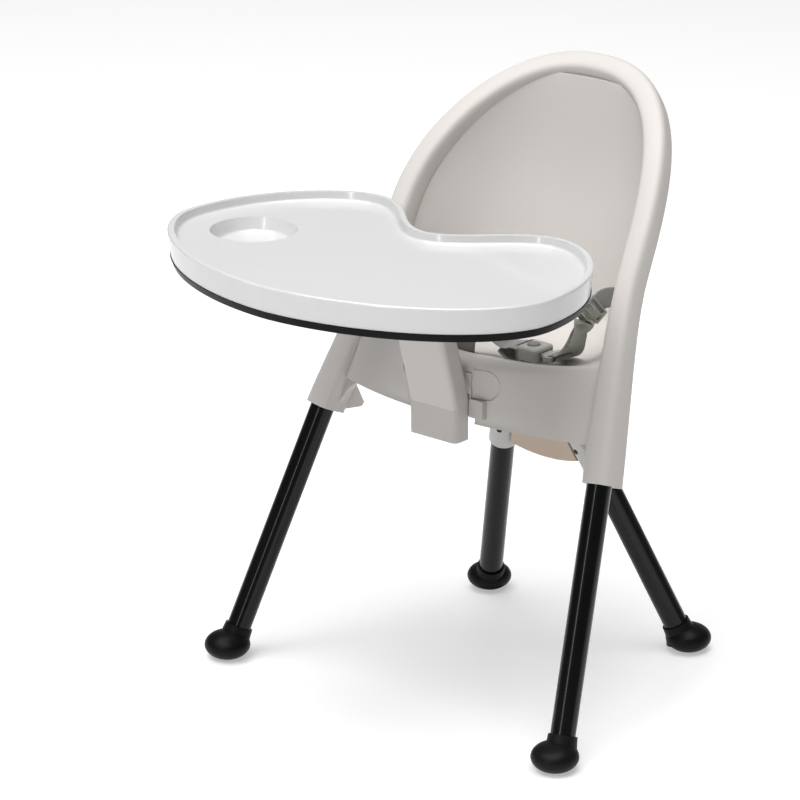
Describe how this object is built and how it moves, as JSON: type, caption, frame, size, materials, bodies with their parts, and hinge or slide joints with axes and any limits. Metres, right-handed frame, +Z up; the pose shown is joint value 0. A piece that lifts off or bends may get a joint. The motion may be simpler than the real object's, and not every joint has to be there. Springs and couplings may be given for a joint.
{
  "type": "folding baby high chair",
  "caption": "Baby high chair: arched bucket seat on splayed tube legs with rubber feet, lift-off tray on a hinged front post, folding rear legs and a webbing harness.",
  "frame": {"origin": "centre of the footprint box on the floor", "axes": "+Z up, the child faces -Y, +X to the child's left, seen from the front to the right"},
  "size_m": [0.576, 0.6295, 0.7352],
  "materials": {
    "shell": "satin moulded, warm light grey",
    "tray": "gloss white",
    "black_plastic": "gloss black",
    "leg": "gloss black paint on steel tube",
    "foot": "satin black rubber",
    "collar": "satin light grey",
    "panel": "satin beige",
    "bracket": "grey powder coat",
    "steel": "zinc plated",
    "dark_screw": "black oxide",
    "webbing": "woven webbing, grey khaki",
    "buckle": "satin grey green",
    "button": "satin dark grey"
  },
  "bodies": {
    "chair": {"seat_shell": "shell", "hinge_housing": "shell", "hinge_pin": "steel", "front_leg_l": "leg", "front_leg_r": "leg", "front_foot_l": "foot", "front_foot_r": "foot", "fold_bracket": "bracket", "bracket_screws": "steel", "fold_shaft": "steel", "crotch_strap": "webbing", "lap_strap_l": "webbing", "lap_strap_r": "webbing", "buckle_body": "buckle", "buckle_tongue_l": "buckle", "buckle_tongue_r": "buckle", "strap_slider_l": "buckle", "strap_slider_r": "buckle", "release_spring_l": "steel", "release_spring_r": "steel", "latch_spring": "steel"},
    "rear_legs": {"rear_yoke": "collar", "yoke_panel": "panel", "rear_collar_l": "collar", "rear_collar_r": "collar", "collar_screws": "dark_screw", "rear_leg_l": "leg", "rear_leg_r": "leg", "rear_foot_l": "foot", "rear_foot_r": "foot"},
    "table": {"post": "shell", "post_head": "black_plastic", "tray_base": "black_plastic", "tray_base_screws": "steel"},
    "tray": {"tray_top": "tray"},
    "button_l": {"release_button_l": "shell"},
    "button_r": {"release_button_r": "shell"},
    "latch": {"latch_knob": "black_plastic"},
    "buckle_press": {"buckle_button": "button"}
  },
  "joints": [
    {"name": "rear_leg_fold", "type": "hinge", "parent": "chair", "child": "rear_legs", "pos_m": [0, 0.17809, 0.332], "axis": [1, 0, 0], "range_deg": [-38, 0]},
    {"name": "table_fold", "type": "hinge", "parent": "chair", "child": "table", "pos_m": [0, 0.01409, 0.366], "axis": [1, 0, 0], "range_deg": [0, 88]},
    {"name": "tray_lift", "type": "slide", "parent": "table", "child": "tray", "axis": [0, 0, 1], "range_m": [0, 0.08]},
    {"name": "release_l", "type": "slide", "parent": "chair", "child": "button_l", "axis": [0, 1, 0], "range_m": [0, 0.005], "stiffness_N_per_m": 600, "springref_m": -0.002, "deforming": ["release_spring_l"]},
    {"name": "release_r", "type": "slide", "parent": "chair", "child": "button_r", "axis": [0, 1, 0], "range_m": [0, 0.005], "stiffness_N_per_m": 600, "springref_m": -0.002, "deforming": ["release_spring_r"]},
    {"name": "latch_pull", "type": "slide", "parent": "chair", "child": "latch", "axis": [1, 0, 0], "range_m": [0, 0.004], "stiffness_N_per_m": 500, "springref_m": -0.002, "deforming": ["latch_spring"]},
    {"name": "buckle_press", "type": "slide", "parent": "chair", "child": "buckle_press", "axis": [0, 0, -1], "range_m": [0, 0.003], "stiffness_N_per_m": 500, "springref_m": -0.002}
  ]
}
